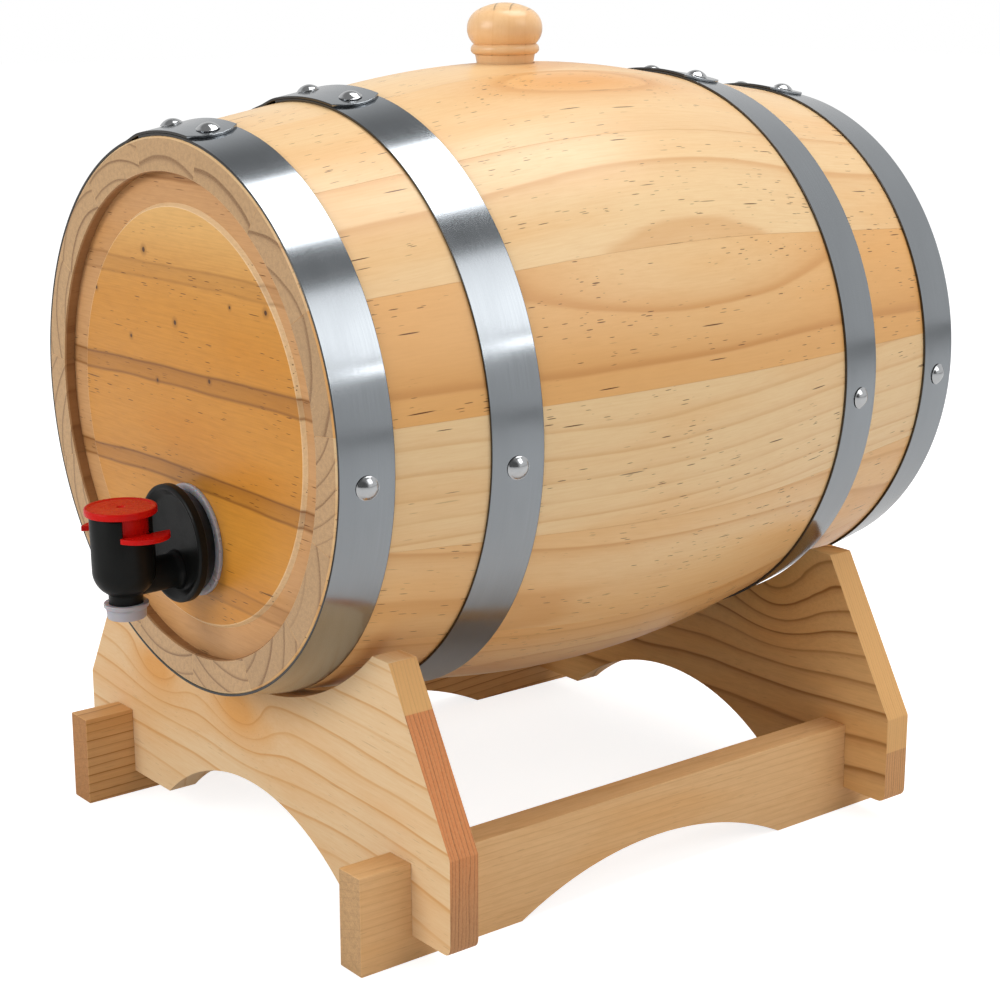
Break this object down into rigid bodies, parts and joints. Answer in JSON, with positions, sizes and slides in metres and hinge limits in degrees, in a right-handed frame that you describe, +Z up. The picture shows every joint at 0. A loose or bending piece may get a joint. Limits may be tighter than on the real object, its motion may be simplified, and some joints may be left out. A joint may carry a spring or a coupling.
{
  "type": "cask drink dispenser",
  "caption": "Small pine cask with steel hoops and a push-in tap, lying nose down on a stand of crossed boards.",
  "frame": {"origin": "middle of the object's footprint, on the floor", "axes": "+Z up, -Y towards the tap, +X to the right when facing +Y"},
  "size_m": [0.2524, 0.3394, 0.3204],
  "materials": {
    "stave_pine": "varnished",
    "head_pine": "varnished",
    "bung_pine": "varnished",
    "stand_pine": "satin",
    "hoop_steel": "brushed",
    "rivet_steel": "polished",
    "black_plastic": "satin",
    "red_plastic": "gloss",
    "clear_plastic": "translucent",
    "tank_plastic": "moulded",
    "seal_rubber": "matte"
  },
  "bodies": {
    "stand": {"front_cradle_board": "stand_pine", "rear_cradle_board": "stand_pine", "left_rail": "stand_pine", "right_rail": "stand_pine"},
    "cask": {"bung_stave": "stave_pine", "stave_01": "stave_pine", "stave_02": "stave_pine", "stave_03": "stave_pine", "stave_04": "stave_pine", "stave_05": "stave_pine", "stave_06": "stave_pine", "stave_07": "stave_pine", "stave_08": "stave_pine", "stave_09": "stave_pine", "stave_10": "stave_pine", "stave_11": "stave_pine", "stave_12": "stave_pine", "stave_13": "stave_pine", "stave_14": "stave_pine", "front_head": "head_pine", "rear_head": "head_pine", "front_head_hoop": "hoop_steel", "front_quarter_hoop": "hoop_steel", "rear_quarter_hoop": "hoop_steel", "rear_head_hoop": "hoop_steel", "lap_rivets": "rivet_steel", "hoop_nails": "rivet_steel", "filler_collar": "clear_plastic", "inner_tank": "tank_plastic", "tank_gland": "clear_plastic", "gland_collar": "clear_plastic", "tap_body": "black_plastic", "spout_ring": "clear_plastic"},
    "bung": {"bung": "bung_pine"},
    "valve": {"valve_stem": "clear_plastic", "valve_seal": "seal_rubber"},
    "key": {"tap_key": "red_plastic"}
  },
  "joints": [
    {"name": "cask_lift", "type": "slide", "parent": "stand", "child": "cask", "axis": [0, 0, 1], "range_m": [0, 0.12]},
    {"name": "bung_lift", "type": "slide", "parent": "cask", "child": "bung", "axis": [0, -0.0171, 0.9999], "range_m": [0, 0.04]},
    {"name": "valve_climb", "type": "slide", "parent": "cask", "child": "valve", "axis": [0, -0.0171, 0.9999], "range_m": [0, 0.004]},
    {"name": "key_turn", "type": "hinge", "parent": "valve", "child": "key", "pos_m": [0, -0.15652, 0.13177], "axis": [0, -0.0171, 0.9999], "range_deg": [0, 60]}
  ],
  "couplings": [
    {"joint": "valve_climb", "follows": "key_turn", "m_per_rad": 0.003819}
  ]
}
